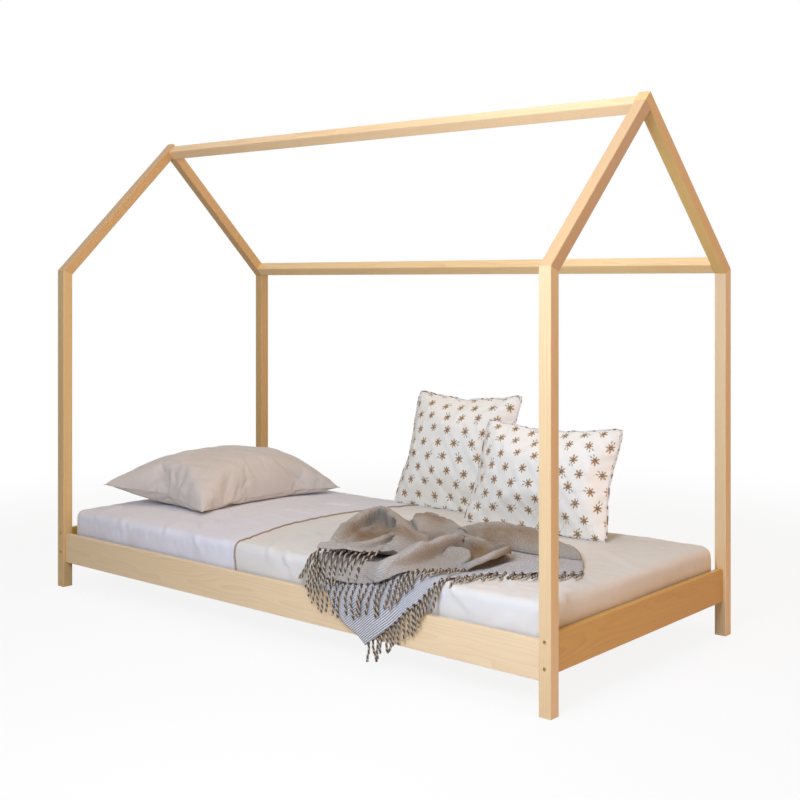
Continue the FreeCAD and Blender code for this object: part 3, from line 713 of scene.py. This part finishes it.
def sprigs(name):
    """White cotton printed with sprigs. The cloth's flat place gives a staggered cell and a place in
    it, moved and turned by chance; the angle gives seven pointed petals round a dark eye, two leaves
    and a thin curved stem."""
    made, where = fresh(name, "UV")

    def step(kind):
        return lambda *values: maths(kind, *values)

    add, sub, mul, div = (step(kind) for kind in ("ADD", "SUBTRACT", "MULTIPLY", "DIVIDE"))
    less, more, size_of = (step(kind) for kind in ("LESS_THAN", "GREATER_THAN", "ABSOLUTE"))
    whole, rest, sine, cosine = (step(kind) for kind in ("FLOOR", "FRACT", "SINE", "COSINE"))
    split = node("SeparateXYZ", {0: where}).outputs
    row = div(split[1], cell[1])
    odd = mul(maths("MODULO", whole(row), 2.0), 0.5)
    column = add(div(split[0], cell[0]), odd)
    key = node("CombineXYZ", {0: whole(column), 1: whole(row)}).outputs[0]
    chance = node("TexWhiteNoise", {"Vector": key}, noise_dimensions="2D").outputs["Color"]
    roll = node("SeparateXYZ", {0: chance}).outputs
    x = sub(mul(sub(rest(column), 0.5), cell[0]), mul(sub(roll[0], 0.5), jog))
    y = sub(mul(sub(rest(row), 0.5), cell[1]), mul(sub(roll[1], 0.5), jog))
    spin = mul(roll[2], 2 * pi)
    px = add(mul(x, cosine(spin)), mul(y, sine(spin)))
    py = sub(mul(y, cosine(spin)), mul(x, sine(spin)))
    far = maths("SQRT", add(mul(px, px), mul(py, py)))
    angle = maths("ARCTAN2", py, px)
    ray = size_of(cosine(mul(angle, 3.5)))
    lean = add(0.86, mul(cosine(angle), -0.14))
    reach = mul(mul(add(mul(maths("POWER", ray, 1.1), 0.72), 0.28), sprig), lean)
    petal = mul(less(far, reach), more(far, sprig * 0.2))
    eye = mul(less(far, sprig * 0.34), more(ray, 0.35))
    bend = sub(py, mul(mul(px, px), 18.0))
    stem = mul(less(size_of(bend), 0.0006), more(px, 0.003))
    stem = mul(stem, less(px, sprig * 1.55))
    leaf_x = div(sub(px, sprig * 0.95), 0.0052)
    leaf_y = div(sub(size_of(sub(py, 0.001)), 0.0050), 0.0021)
    leaf = mul(less(add(mul(leaf_x, leaf_x), mul(leaf_y, leaf_y)), 1.0), more(roll[0], 0.45))
    thread = noise(where, 900.0, 1.0)
    veins = mul(more(size_of(sine(mul(angle, 5.0))), 0.86), 0.75)
    bloom = mix(add(veins, mul(thread, 0.25)), "#C49A58", "#866232")
    green = mix(thread, "#8E917C", "#B3B5A4")
    colour = mix(noise(where, 7.0), "#EEEADB", "#F8F4E6")
    colour = mix(mul(stem, 0.75), colour, green)
    colour = mix(leaf, colour, green)
    colour = mix(mul(petal, 0.9), colour, bloom)
    colour = mix(eye, colour, "#5C3F22")
    wrinkle = relief(noise(where, 30.0, 4.0), 0.35, 0.004)
    surface(colour, 0.85, relief(thread, 0.15, 0.0004, wrinkle), nap(0.06))
    return made


print_cotton = sprigs("sprigged_cotton")
bias, place = fresh("sprigged_cotton_welt")
dash = ramp(noise(place, 55.0), 0.53, 0.60)
twist = relief(bands(place, 0.0016, "DIAGONAL"), 0.3, 0.0004)
surface(mix(dash, "#E4E2DC", "#7B6144"), 0.85, twist, {"Sheen Weight": 0.2})


def cushion(name, body, cut, corners, thick):
    """A cushion from two panels of the given cut, carried to its four corners; its foot is pressed
    flat on the bed by its weight."""
    piece, shape, border, flat = sewn_case(name + "_case", *cut, print_cotton)
    shape = spread_out(shape, flat, cut, corners, 0.34, thick * 0.54, thick * 0.46, 0.032)
    shape[:, 1] += gathers(flat, cut, 0.0026, 91)
    share = unit((shape[:, 2] - 0.265) / 0.35)
    shape[:, 2] = settle(shape[:, 2] - 0.018 * (1 - share) ** 2, 0.2652, 0.002)
    finish_case(piece, shape, flat, body)
    welt(name + "_welt", shape[border], 0.0022, 8, bias, body)


foot_corners = [(-0.238, 0.385, 0.272), (0.232, 0.390, 0.270)]
head_corners = [(0.287, 0.452, 0.675), (-0.168, 0.452, 0.666)]
cushion("back_cushion", "cushion_back", (0.50, 0.42), foot_corners + head_corners, 0.142)
foot_corners = [(0.170, 0.272, 0.272), (0.722, 0.276, 0.270)]
head_corners = [(0.752, 0.332, 0.607), (0.232, 0.330, 0.602)]
cushion("front_cushion", "cushion_front", (0.57, 0.36), foot_corners + head_corners, 0.136)

# ----------------------------------------
# Throw: a loosely woven grey melange throw with pinstripes on its face, thrown across the foot half
# of the bed at a slant. Its lower sheet hangs over the front as a corner; the upper one comes back
# in rolls and folds. Both ends have a fringe of twisted cords with knots.


def laid(x, s, h):
    """A place on the throw: x along the bed, s the run of cloth from the middle line towards the
    front and down, h the height over what carries it. The run is flat, then a sixth of a circle
    over the rim of the mattress, then slants out over the side board, then hangs straight."""
    flat, rim, swing, top, slant = 0.413, 0.033, math.radians(62), 0.2665, 0.0713
    turn = np.clip((s - flat) / rim, 0, swing)
    on = np.clip(s - flat - rim * swing, 0, slant)
    fall = np.maximum(s - flat - rim * swing - slant, 0)
    hang = unit(fall / 0.02) * (pi / 2 - swing)
    y = -(np.minimum(s, flat) + rim * np.sin(turn) + on * math.cos(swing))
    z = top - rim * (1 - np.cos(turn)) - on * math.sin(swing) - fall
    lean = turn + hang
    return np.stack([np.broadcast_to(x, y.shape), y - h * np.sin(lean), z + h * np.cos(lean)], axis=-1)


def run_along(points):
    """The length of a line from its start to each of its points."""
    return np.concatenate([[0], np.cumsum(np.linalg.norm(np.diff(points, axis=0), axis=1))])


def smooth_line(points, count):
    """A line through a few points, evenly divided and rounded: each pass moves points to the mean
    of their neighbours."""
    run = run_along(points)
    even = np.linspace(0, run[-1], count)
    line = np.stack([np.interp(even, run, points[:, k]) for k in range(points.shape[1])], axis=1)
    for _ in range(count // 7):
        line[1:-1] = (line[:-2] + 2 * line[1:-1] + line[2:]) / 4
    return line


def patch(front, back, left, right, columns, rows):
    """Places inside four border lines: front and back run left to right, left and right run front
    to back; the two ruled surfaces are added and the four corners taken off."""
    f, k = smooth_line(front, columns), smooth_line(back, columns)
    l, r = smooth_line(left, rows), smooth_line(right, rows)
    u = np.linspace(0, 1, columns)[None, :, None]
    v = np.linspace(0, 1, rows)[:, None, None]
    ruled = (1 - v) * f[None] + v * k[None] + (1 - u) * l[:, None] + u * r[:, None]
    return ruled - (1 - u) * (1 - v) * f[0] - u * (1 - v) * f[-1] - (1 - u) * v * k[0] - u * v * k[-1]


def rolls(places, folds):
    """Heights and sideways moves made by folds. Each fold is a line on the bed with a width, a
    height and a lean: a bell-shaped ridge whose crest is moved to the left of the line by the lean,
    so that it hangs over where the lean is more than the width."""
    height = np.zeros(places.shape[:2])
    move = np.zeros(places.shape)
    for line, width, high, lean in folds:
        line = smooth_line(line, 48)
        gap = places[:, :, None, :] - line[None, None, :, :]
        far = np.hypot(gap[..., 0], gap[..., 1])
        near = far.argmin(axis=2)
        distance = far.min(axis=2)
        ahead = straight(np.gradient(line, axis=0))
        side = np.stack([-ahead[:, 1], ahead[:, 0]], axis=1)
        ends = np.sin(np.linspace(0, pi, 48)) ** 0.45
        bell = np.exp(-((distance / width) ** 2.4)) * ends[near]
        height = np.maximum(height, high * bell) + 0.25 * np.minimum(height, high * bell)
        move += (lean * bell)[..., None] * side[near]
    return height, move


pieces, cloth_uv, sheets, brown_and_painted_light = [], [], [], []
plain, striped = 0, 1  # the two materials of the throw


def mm(*numbers):
    """A line of places on the throw, from x and s in turn in millimetres."""
    return np.reshape(numbers, (-1, 2)) / 1000


def unevenness(places, *waves):
    """Soft unevenness of the cloth, from waves of a height, a length and a seed each."""
    return sum(high * rumple(places[..., 0], places[..., 1], length, seed) for high, length, seed in waves)


def lay_cloth(places, height, move, material, grain, brown=()):
    """Adds one sheet of the throw to the mesh, with its own flat places for the weave, which start at grain.
    Round brown patches, each given by its place, its two half widths and its share, are partly the throw's
    own brown and partly painted shade in the hollows; the crests get a painted highlight of pale yarn colour."""
    share = np.zeros(places.shape[:2])
    crest = unit((height - 0.012) / 0.030)
    for px, ps, wide, deep, amount in brown:
        spot = np.exp(-(((places[..., 0] - px) / wide) ** 2) - ((places[..., 1] - ps) / deep) ** 2)
        share = np.maximum(share, amount * spot)
    # Painted light: positive values give the brown patches, partly painted shade in the hollows; negative
    # values give the painted highlight on the crests.
    brown_and_painted_light.append((share * (1 - 0.3 * crest) - 0.75 * crest * unit(1 - 2 * share)).ravel())
    x, s = places[..., 0] + move[..., 0], places[..., 1] + move[..., 1]
    points = laid(x, s, height)
    steps = np.linalg.norm(np.diff(points, axis=1), axis=2)
    runs = np.concatenate([np.zeros((points.shape[0], 1)), np.cumsum(steps, axis=1)], axis=1)
    rise = np.linalg.norm(np.diff(points, axis=0), axis=2).mean(axis=1)
    rises = np.concatenate([[0], np.cumsum(rise)])
    flat = np.stack([runs + grain, np.broadcast_to(rises[:, None], runs.shape)], axis=-1)
    cloth_uv.append(flat.reshape(-1, 2))
    offset = sum(len(q) for q in pieces)
    pieces.append(points.reshape(-1, 3))
    sheets.append((cells(*points.shape[:2]) + offset, material))


# Lower sheet: from the right end along the bed, and down over the board as a corner
front_line = mm(
    429, 638, 473, 606, 525, 568, 575, 525, 613, 484, 648, 440, 668, 385, 684, 330, 705, 290,
    740, 256, 800, 212, 855, 165, 895, 118,
)
back_line = mm(205, 300, 290, 200, 420, 60, 550, -60, 667, -158)
left_line = mm(429, 638, 389, 613, 348, 587, 305, 550, 265, 500, 225, 410, 205, 300)
right_line = mm(895, 118, 830, 18, 744, -92, 700, -135, 667, -158)
places = patch(front_line, back_line, left_line, right_line, 120, 90)
hanging = unit((places[..., 1] - 0.515) / 0.05)
wave = unevenness(places, (0.0016, 0.20, 31), (0.0007, 0.05, 32))
billow = hanging * 0.004 * (1 + np.sin(2 * pi * (places[..., 0] - 0.30) / 0.13))
height, move = rolls(
    places,
    [
        (mm(700, 300, 690, 180, 720, 60), 0.020, 0.010, 0.006),
        (mm(800, 215, 790, 120, 760, 10), 0.018, 0.008, 0.004),
    ],
)
lay_cloth(places, 0.0030 + height + np.maximum(wave, -0.0012) + billow, move, striped, 0.0)

# Right lobe: the sheet turns back over itself in a wide soft roll
back_line = mm(290, -85, 330, -180, 420, -205, 500, -195, 600, -150, 720, -80, 800, -12)
front_line = mm(400, -20, 500, 6, 581, 22, 640, 26, 700, 22, 760, 12, 812, 4)
columns, rows = 90, 46
far, near = smooth_line(back_line, columns), smooth_line(front_line, columns)
swing = np.linspace(0, pi * 1.13, rows)[:, None]
share = 0.5 - 0.5 * np.cos(swing)
u = np.linspace(0, 1, columns)[None, :]
crest = 0.047 * unit(np.sin(pi * np.clip(u, 0.02, 0.98))) ** 0.35 * (1 - 0.40 * u)
lift = 0.004 + crest * np.abs(np.sin(np.minimum(swing, pi))) ** 0.75 + 0.002 * (swing > pi)
places = far[None] * (1 - share[..., None]) + near[None] * share[..., None]
wave = unevenness(places, (0.0022, 0.16, 41), (0.0011, 0.045, 42))
lift = lift + np.maximum(wave, -0.002) * np.sin(np.minimum(swing, pi))
lay_cloth(places, lift, np.zeros(places.shape), plain, 1.3, [(0.52, -0.05, 0.17, 0.080, 1.2)])

# Centre: from the front fringe back to the straight hem, with the big bent fold
front_line = mm(260, 483, 327, 485, 407, 479, 470, 461, 530, 430, 568, 382, 609, 335, 648, 312)
back_line = mm(45, -245, 118, -205, 188, -165, 307, -83, 394, -34, 455, 4, 550, 54, 625, 95)
left_line = mm(260, 483, 237, 460, 200, 425, 185, 330, 170, 180, 130, 20, 75, -120, 45, -245)
right_line = mm(648, 312, 668, 235, 655, 160, 625, 95)
places = patch(front_line, back_line, left_line, right_line, 120, 150)
big_fold = mm(
    440, 470, 455, 400, 452, 330, 442, 265, 438, 200, 446, 140, 476, 102, 530, 96, 585, 108, 625, 140,
)
turn_fold = mm(560, 96, 615, 125, 642, 180, 648, 240, 632, 312)
roll_end = mm(475, 222, 500, 208, 545, 214, 582, 250, 590, 290)
slack = mm(230, 20, 330, 30, 420, 70, 470, 110)
rear = mm(90, -190, 150, -120, 210, -30, 250, 60)
height, move = rolls(
    places,
    [
        (big_fold, 0.033, 0.053, 0.044),
        (turn_fold, 0.024, 0.040, -0.034),
        (roll_end, 0.015, 0.022, -0.022),
        (slack, 0.026, 0.018, 0.016),
        (rear, 0.036, 0.034, 0.028),
        (mm(45, -235, 188, -155, 394, -24, 560, 70), 0.022, 0.012, -0.010),
    ],
)
x, y = places[..., 0], places[..., 1]
wave = unevenness(places, (0.0024, 0.17, 51), (0.0014, 0.05, 52))
edge_y = np.interp(x, [-0.05, 0.0, 0.08, 0.19, 0.29, 0.37], [-0.09, -0.125, -0.10, -0.03, 0.05, 0.14])
edge_x = np.interp(y, [0.14, 0.205, 0.29, 0.36, 0.40], [0.37, 0.407, 0.415, 0.40, 0.37])
under = unit((y - edge_y) / 0.035) * unit((edge_x - x) / 0.035)
bare = 1 - under * unit((0.425 - y) / 0.03)
lift = 0.0054 + 0.0024 * bare + 0.0035 * unit((y - 0.38) / 0.05) + height * bare
lay_cloth(
    places,
    lift + np.maximum(wave, -0.0025) * (0.4 + 0.6 * bare),
    move * bare[..., None],
    plain,
    2.7,
    [(0.12, -0.12, 0.09, 0.08, 1.3), (0.57, 0.15, 0.09, 0.06, 1.2), (0.33, 0.06, 0.07, 0.05, 0.9)],
)

# Left lobe: on top, with the crescent roll round a hollow, down to its own fringe
front_line = mm(205, 428, 243, 426, 309, 421, 350, 416, 378, 395, 400, 360)
back_line = mm(-50, -90, 0, -125, 80, -100, 190, -30, 290, 50, 370, 140)
left_line = mm(205, 428, 145, 340, 70, 235, 10, 130, -25, 50, -45, -30, -50, -90)
right_line = mm(400, 360, 415, 290, 407, 205, 370, 140)
places = patch(front_line, back_line, left_line, right_line, 110, 130)
crescent = mm(
    160, 360, 95, 245, 40, 140, 12, 50, 10, -20, 45, -45, 110, -15, 190, 45, 270, 120, 330, 195,
    360, 265, 362, 315,
)
inner = mm(230, 360, 262, 300, 268, 240, 255, 175, 215, 110, 150, 70)
shoulder = mm(200, 400, 180, 300, 130, 210, 90, 130, 80, 60)
height, move = rolls(
    places,
    [
        (crescent, 0.029, 0.056, 0.036),
        (inner, 0.022, 0.032, 0.026),
        (shoulder, 0.024, 0.014, 0.012),
        (mm(310, 345, 318, 280, 300, 200), 0.018, 0.014, 0.014),
    ],
)
ease = np.linspace(0, 1, places.shape[0])[:, None]
over = 0.0055 + 0.024 * np.exp(-((ease / 0.16) ** 2)) * np.clip((places[..., 0] - 0.14) / 0.05, 0.3, 1)
wave = unevenness(places, (0.0022, 0.16, 61), (0.0013, 0.05, 62))
lay_cloth(
    places,
    0.0070 + over + height + np.maximum(wave, -0.0022),
    move,
    plain,
    4.1,
    [(0.17, 0.18, 0.085, 0.11, 1.4), (0.30, 0.18, 0.045, 0.08, 1.3), (0.10, 0.05, 0.05, 0.07, 0.9)],
)

stripe_pitch = 0.0056  # of the pinstripes, in metres


def wool(name, ground, stripe, contrast):
    """Loose plain weave of grey and cream yarn: flecks along the yarn, fine ribs of the threads,
    and pinstripes across the piece."""
    made, where = fresh(name, "UV")
    band = ramp(bands(where, stripe_pitch, "Y"), 0.35, 0.65, 0.0, contrast)
    knit = maths("ADD", bands(where, 0.0030, "X"), bands(where, 0.0024, "Y"))
    fleck = noise(vector("MULTIPLY", where, (160.0, 620.0, 1.0)), 1.0, 3.0, 0.7)
    specks = ramp(fleck, 0.36, 0.66)
    base = mix(specks, scaled(ground, 0.5), scaled(ground, 1.7))
    base = mix(0.75, ground, base)
    # The attribute brings brown, partly the throw's own colour and partly painted shade in the hollows, and a
    # pale painted highlight on the crests.
    patches = node("Attribute", tree=made.node_tree, attribute_name="brown_and_painted_light").outputs["Fac"]
    uneven = ramp(noise(where, 16.0, 4.0), 0.3, 0.65, 0.45, 1.15)
    brown = maths("MINIMUM", maths("MULTIPLY", patches, uneven), 1.0)
    # Painted highlight: the crests are mixed towards a pale colour.
    painted_crest_highlight = maths("MULTIPLY", brown, -1.0, use_clamp=True)
    base = mix(brown, base, mix(specks, "#6F532E", "#967447"))
    base = mix(painted_crest_highlight, base, mix(specks, "#A8A297", "#CDC8BE"))
    colour = mix(band, base, stripe)
    normal = relief(maths("ADD", knit, fleck), 0.4, 0.0007)
    surface(colour, 0.95, normal, nap(0.1, 0.5, 0.2))
    return made


melange = wool("grey_melange_weave", "#A39B8E", "#847B6C", 0.35)
pinstripe = wool("pinstriped_weave", "#DCD8D0", "#5A554F", 0.8)
throw = mesh_piece("throw_cloth", np.concatenate(pieces), np.concatenate([f for f, _ in sheets]), melange)
throw.data.materials.append(pinstripe)
throw.data.polygons.foreach_set(
    "material_index", np.concatenate([np.full(len(f), m, np.int32) for f, m in sheets])
)
lay_uv(throw, np.concatenate(cloth_uv))
shade = throw.data.attributes.new("brown_and_painted_light", "FLOAT", "POINT")
shade.data.foreach_set("value", np.concatenate(brown_and_painted_light))
thick = throw.modifiers.new("thickness", "SOLIDIFY")
thick.thickness = 0.0032
thick.offset = 0.0


def fringe_roots(line, spacing):
    """Even places along a hem, as pairs of x and s."""
    run = run_along(line)
    at = np.arange(spacing * 0.4, run[-1], spacing)
    return np.stack([np.interp(at, run, line[:, 0]), np.interp(at, run, line[:, 1])], axis=1)


def yarn(name, light, dark):
    """Twisted wool yarn: slanted bands for the plies, and short noise for the fuzz."""
    made, place = fresh(name)
    mixed = maths("MULTIPLY", bands(place, 0.0022, "DIAGONAL"), noise(place, 700.0))
    normal = relief(mixed, 0.6, 0.0006)
    surface(mix(mixed, dark, light), 0.95, normal, {"Sheen Weight": 0.3})
    return made


# Fringe: each cord is two strands, dark and cream, twisted together below a dark knot. A hem gives
# the line of its roots, their spacing, the way that its cords leave it, the height where they start,
# their length and its growth along x, and the height where they rest
centre_hem = mm(262, 481, 327, 483, 407, 477, 470, 459, 530, 428, 568, 380, 609, 333, 642, 316)
lobe_hem = mm(207, 426, 243, 424, 309, 419, 350, 414, 378, 393, 396, 366)
left_hem = mm(172, 405, 200, 427, 237, 460, 257, 480)
corner_hem = mm(433, 632, 525, 566, 613, 482, 668, 387)
right_hem = mm(668, 385, 705, 288, 740, 254, 800, 210, 895, 116)
hems = [
    (centre_hem, 0.0215, (0.02, 1.0), 0.010, 0.090, 0, 0.0165),
    (lobe_hem, 0.0210, (-0.10, 1.0), 0.034, 0.080, 0, 0.0150),
    (corner_hem, 0.0200, (0.03, 1.0), 0.006, 0.052, 0.16, 0.0066),
    (right_hem, 0.0230, (0.30, 0.95), 0.005, 0.075, 0, 0.0062),
    (left_hem, 0.0150, (-0.16, 1.0), 0.010, 0.088, 0, 0.0090),
]
strand_sides, strand_radius = 6, 0.0023
strand_off = 0.0018  # how far a strand's middle lies from the cord's own line
knot_radius, twist_length = 0.0046, 0.0150
outwards = (0.35, -0.8, 0.5)  # roughly, off the bed
t = np.linspace(0, 1, 26)
polar, turn = np.meshgrid(
    np.linspace(0.02, pi - 0.02, 7), np.linspace(0, 2 * pi, 8, endpoint=False), indexing="ij"
)
knot = np.stack([np.sin(polar) * np.cos(turn), np.sin(polar) * np.sin(turn), np.cos(polar)], axis=-1)
chance = np.random.default_rng(77)
dark_points, dark_faces, pale_points, pale_faces = [], [], [], []
for hem, spacing, way, high, length, growth, rest in hems:
    out = np.array(way) / np.linalg.norm(way)
    side = np.array([-out[1], out[0]])
    for root in fringe_roots(hem, spacing):
        long = (length + growth * (root[0] - 0.43)) * chance.uniform(0.92, 1.08)
        sway = 0.010 * chance.uniform(-1, 1) * t**1.5
        sway = sway + 0.0045 * np.sin(2 * pi * (t * chance.uniform(0.6, 1.1) + chance.uniform())) * t
        run = root[None, :] + (t * long)[:, None] * out + sway[:, None] * side
        over = np.interp(t, [0, 0.12, 0.6, 1.0], [high, high * 0.95, rest, rest])
        line = laid(run[:, 0], run[:, 1], over)
        ahead = straight(np.gradient(line, axis=0))
        across = straight(np.cross(ahead, outwards))
        above = np.cross(across, ahead)
        twist = 2 * pi * t * long / twist_length + chance.uniform(0, 6.28)
        for strand, points, faces in ((0, dark_points, dark_faces), (1, pale_points, pale_faces)):
            bend = twist + pi * strand
            middle = line + strand_off * (np.cos(bend)[:, None] * across + np.sin(bend)[:, None] * above)
            girth = strand_radius * np.interp(t, [0, 0.85, 0.95, 1.0], [0.9, 1.0, 1.2, 0.3])
            faces.append(cells(t.size, strand_sides, around=True) + sum(len(q) for q in points))
            points.append(rod(middle, girth, strand_sides, up=outwards).reshape(-1, 3))
        dark_faces.append(cells(*polar.shape, around=True) + sum(len(q) for q in dark_points))
        dark_points.append((knot * knot_radius + line[1]).reshape(-1, 3))

wool_yarn = yarn("umber_wool_yarn", "#70543A", "#35261A")
umber = mesh_piece("fringe_dark_strands", *map(np.concatenate, (dark_points, dark_faces)), wool_yarn)
wool_yarn = yarn("cream_wool_yarn", "#DDD2BE", "#A79474")
cream = mesh_piece("fringe_pale_strands", *map(np.concatenate, (pale_points, pale_faces)), wool_yarn)
for piece in (throw, umber, cream):
    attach(piece, "throw")
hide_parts("throw")
